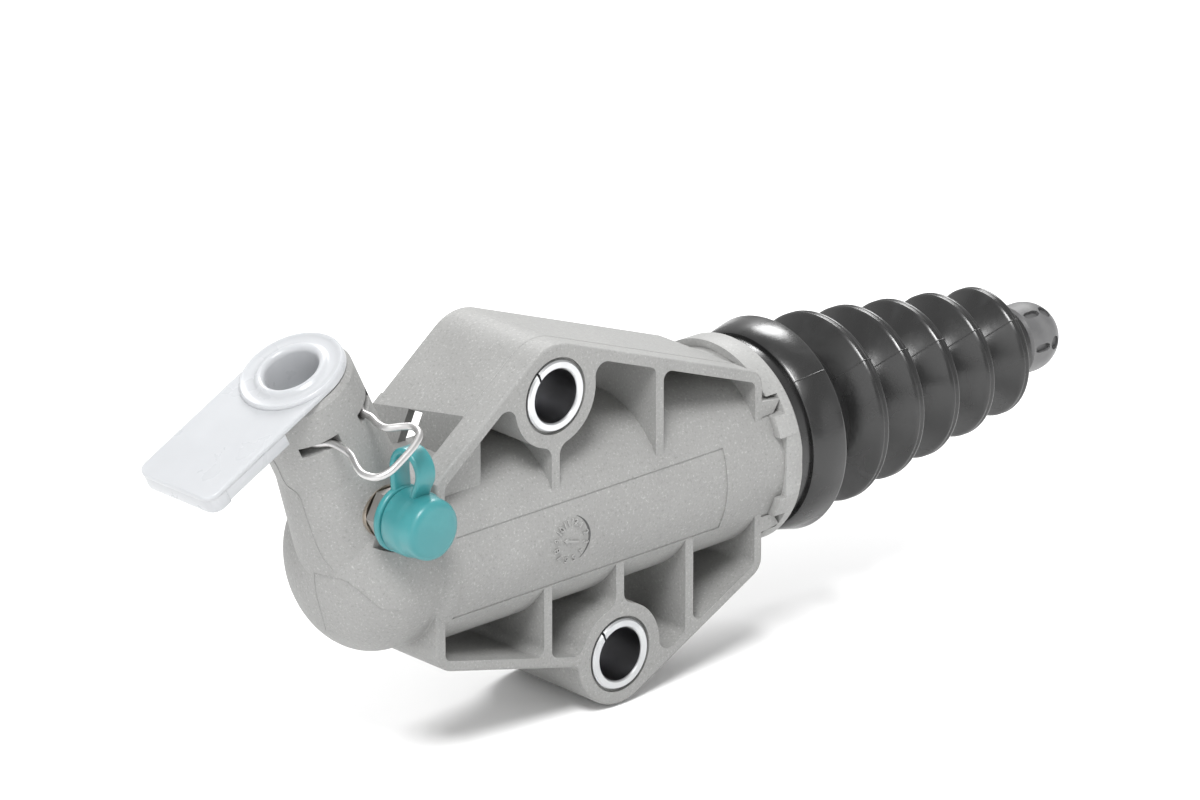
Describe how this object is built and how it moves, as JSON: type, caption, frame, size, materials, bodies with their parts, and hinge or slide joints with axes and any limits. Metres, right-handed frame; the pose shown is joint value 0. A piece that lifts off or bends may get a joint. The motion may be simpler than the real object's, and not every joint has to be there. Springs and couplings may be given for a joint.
{
  "type": "clutch actuator",
  "caption": "Hydraulic clutch actuator cylinder with moulded housing, bolt ears, angled pipe port, bleeder and bellows-covered push rod.",
  "frame": {"origin": "on the upper bolt's axis, in the upright plane that holds the stroke axis", "axes": "+X along the stroke towards the push rod's end, -Y the side the bleeder and bolt heads face, +Z from the stroke axis to the upper bolt"},
  "size_m": [0.181, 0.0387, 0.0681],
  "materials": {
    "nylon": "fine-speckled moulded nylon, matte",
    "zinc": "zinc-plated rolled steel",
    "steel": "plain steel, satin",
    "spring_wire": "bright spring wire",
    "rubber": "satin black rubber",
    "seal_rubber": "smooth black rubber",
    "piston_alloy": "turned, anodised",
    "dark_nylon": "dark grey moulded nylon",
    "brass": "turned",
    "teal_rubber": "smooth teal rubber",
    "milky": "translucent milky polyethylene"
  },
  "bodies": {
    "cylinder": {"housing": "nylon", "upper_bush": "zinc", "lower_bush": "zinc", "cover_ring": "nylon", "stop_ring": "steel", "boot": "rubber", "preload_spring": "spring_wire", "bleed_insert": "brass"},
    "piston_group": {"piston": "piston_alloy", "pressure_seal": "seal_rubber", "guide_seal": "seal_rubber", "seal_spreader": "dark_nylon", "ball_retainer": "steel"},
    "rod_group": {"push_rod": "steel", "rod_cap": "dark_nylon"},
    "bleeder": {"bleed_screw": "steel", "bleed_seal": "seal_rubber"},
    "cap": {"dust_cap": "teal_rubber"},
    "plug": {"port_plug": "milky"},
    "clip": {"retaining_clip": "spring_wire"}
  },
  "joints": [
    {"name": "stroke", "type": "slide", "parent": "cylinder", "child": "piston_group", "axis": [1, 0, 0], "range_m": [-0.018, 0], "deforming": ["preload_spring", "boot"]},
    {"name": "rod_swivel", "type": "hinge", "parent": "piston_group", "child": "rod_group", "pos_m": [0.024, 0, -0.0226], "axis": [0, 1, 0], "range_deg": [-2, 2]},
    {"name": "bleed_turn", "type": "hinge", "parent": "cylinder", "child": "bleeder", "pos_m": [-0.0305, -0.012, -0.0114], "axis": [0, -1, 0], "range_deg": [0, 180]},
    {"name": "cap_pull", "type": "slide", "parent": "cylinder", "child": "cap", "axis": [0, -1, 0], "range_m": [0, 0.012]},
    {"name": "plug_pull", "type": "slide", "parent": "cylinder", "child": "plug", "axis": [-0.4462, 0, 0.8949], "range_m": [0, 0.018]},
    {"name": "clip_release", "type": "slide", "parent": "cylinder", "child": "clip", "axis": [0, -1, 0], "range_m": [0, 0.003]}
  ]
}
